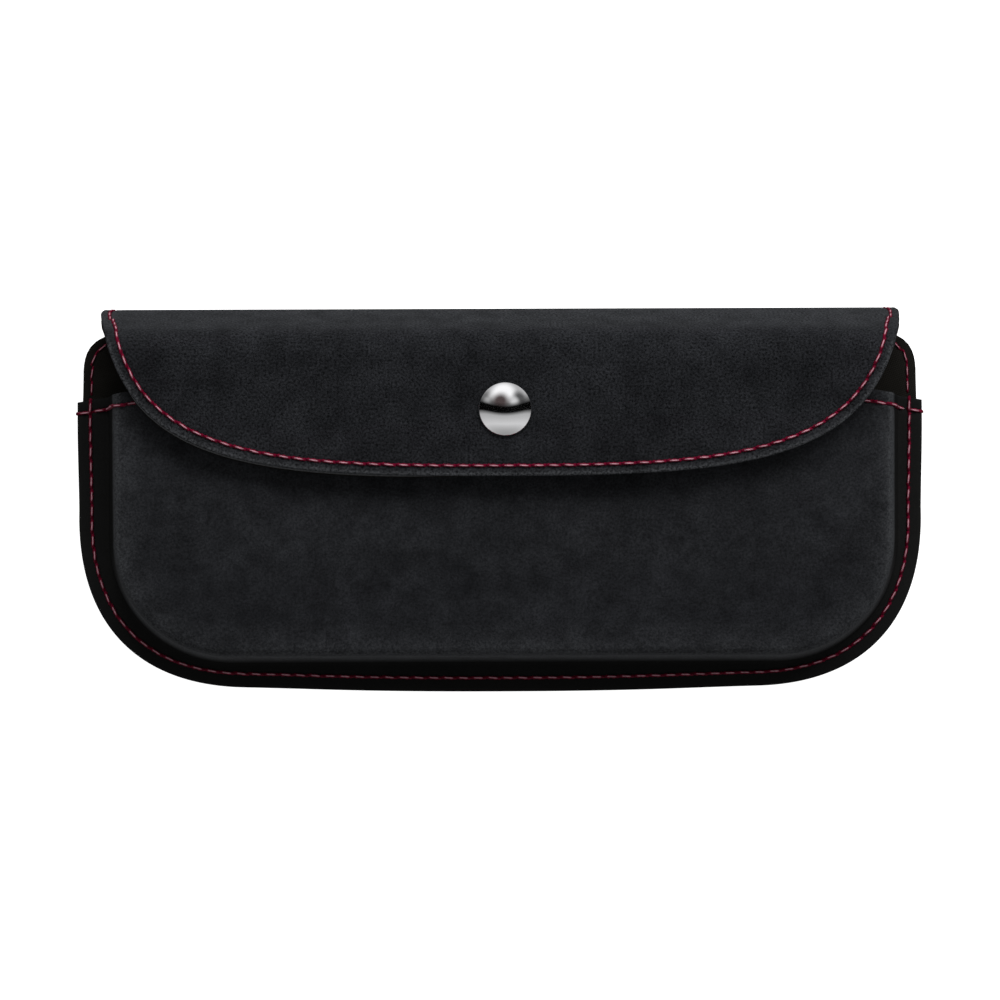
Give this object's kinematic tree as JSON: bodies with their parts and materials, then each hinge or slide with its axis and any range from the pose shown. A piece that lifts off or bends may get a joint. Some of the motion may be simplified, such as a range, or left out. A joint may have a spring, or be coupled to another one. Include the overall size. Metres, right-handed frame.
{
  "type": "soft pouch glasses case",
  "caption": "Soft leather pouch for folded glasses with a raised pocket, a fold-over flap, contrast stitching and a domed press stud.",
  "frame": {"origin": "under the middle of the case, on the plane that its back lies on", "axes": "+X to the right across the case, +Y from the sewn bottom edge towards the fold of the flap, +Z out of the front through the press stud"},
  "size_m": [0.187, 0.0851, 0.0294],
  "materials": {
    "leather": "matt black nubuck",
    "interlining": "black non-woven backing",
    "lining": "black short-pile lining cloth",
    "thread": "crimson twisted sewing thread",
    "nickel": "polished nickel plate"
  },
  "bodies": {
    "pouch": {"back_panel": "leather", "back_interlining": "interlining", "back_lining": "lining", "front_panel": "leather", "front_interlining": "interlining", "front_lining": "lining", "back_fold_leather": "leather", "back_fold_lining": "lining", "body_seam_thread": "thread", "body_seam_bobbin": "thread", "mouth_seam_thread": "thread", "mouth_seam_bobbin": "thread", "snap_stud": "nickel", "snap_eyelet": "nickel"},
    "spine": {"spine_panel": "leather", "spine_interlining": "interlining", "spine_lining": "lining", "front_fold_leather": "leather", "front_fold_lining": "lining", "spine_seam_thread": "thread", "spine_seam_bobbin": "thread"},
    "flap": {"flap_panel": "leather", "flap_interlining": "interlining", "flap_lining": "lining", "flap_seam_thread": "thread", "flap_seam_bobbin": "thread", "snap_cap": "nickel", "snap_socket": "nickel", "snap_spring": "nickel"}
  },
  "joints": [
    {"name": "spine_fold", "type": "hinge", "parent": "pouch", "child": "spine", "pos_m": [0, 0.0421, 0.00121], "axis": [-1, 0, 0], "range_deg": [0, 100], "deforming": ["back_fold_leather", "back_fold_lining"]},
    {"name": "flap_fold", "type": "hinge", "parent": "spine", "child": "flap", "pos_m": [0, 0.03533, 0.02533], "axis": [-1, 0, 0], "range_deg": [0, 72], "deforming": ["front_fold_leather", "front_fold_lining"]}
  ]
}
